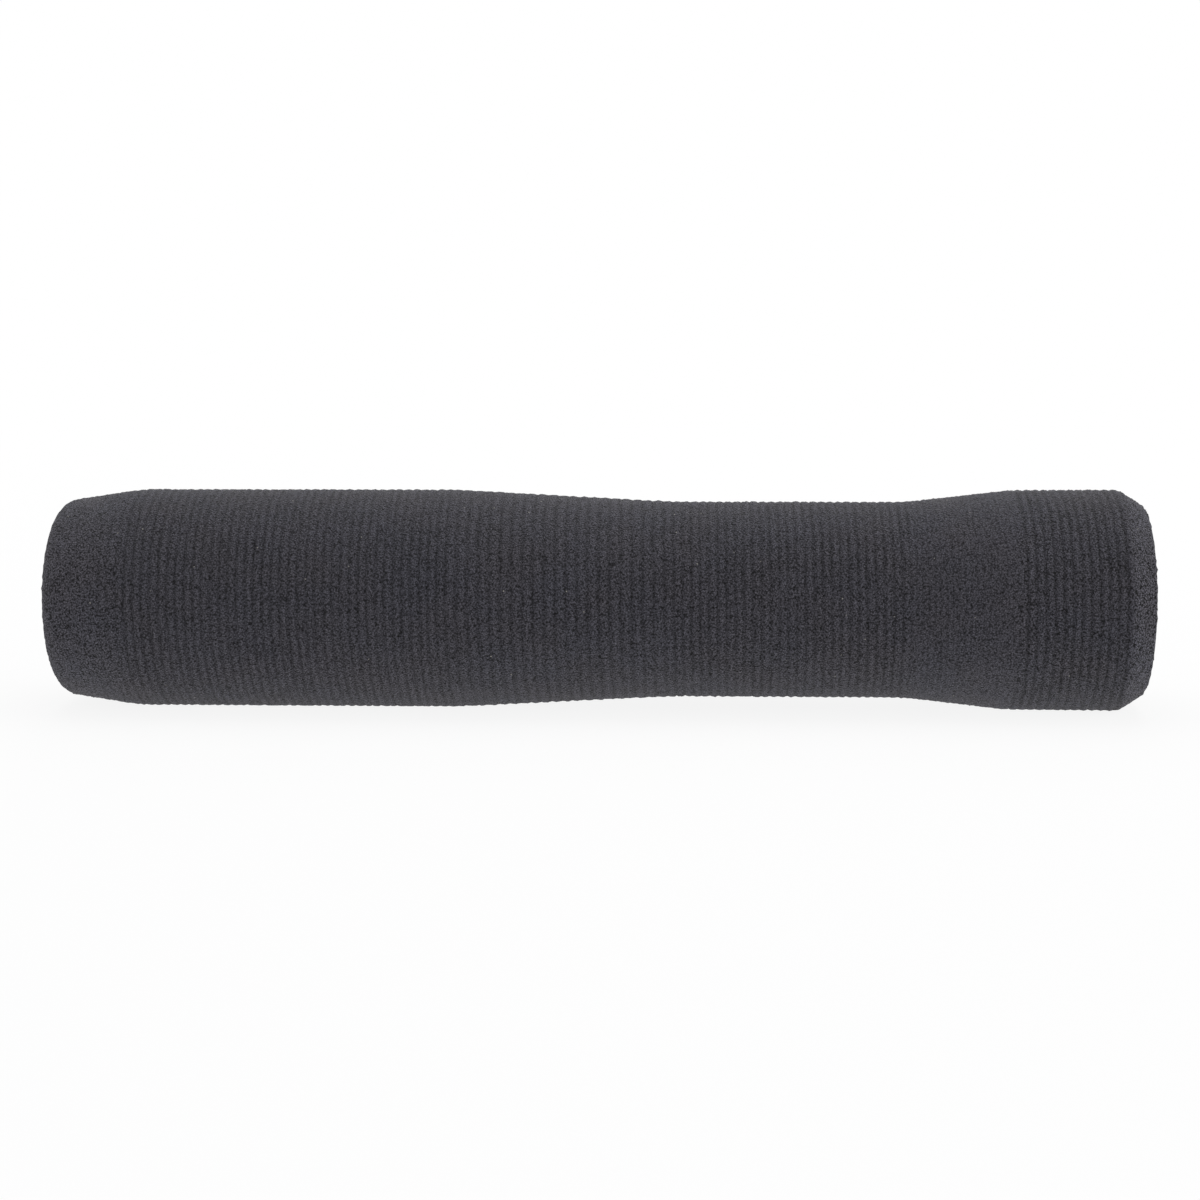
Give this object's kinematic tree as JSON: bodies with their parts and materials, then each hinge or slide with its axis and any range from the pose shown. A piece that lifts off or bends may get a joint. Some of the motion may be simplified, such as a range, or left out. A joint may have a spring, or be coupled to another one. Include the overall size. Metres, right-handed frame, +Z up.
{
  "type": "handlebar grip",
  "caption": "Slip-on foam sleeve for the end of a bicycle handlebar: thick barrel for the palm, slimmer waist for the fingers, flared collar beside the brake lever, open bore through it.",
  "frame": {"origin": "middle of the bore's axis, half way between the two end faces", "axes": "+X along the bore to the inner end, the flared and chamfered one beside the brake lever; +Z up with the sleeve on its side; +Y completes the right-handed frame"},
  "size_m": [0.13, 0.0264, 0.026],
  "materials": {
    "foam_rubber": "matt ground foam with fine turning marks and open pores"
  },
  "bodies": {
    "root": {"handlebar_grip": "foam_rubber"}
  },
  "joints": []
}
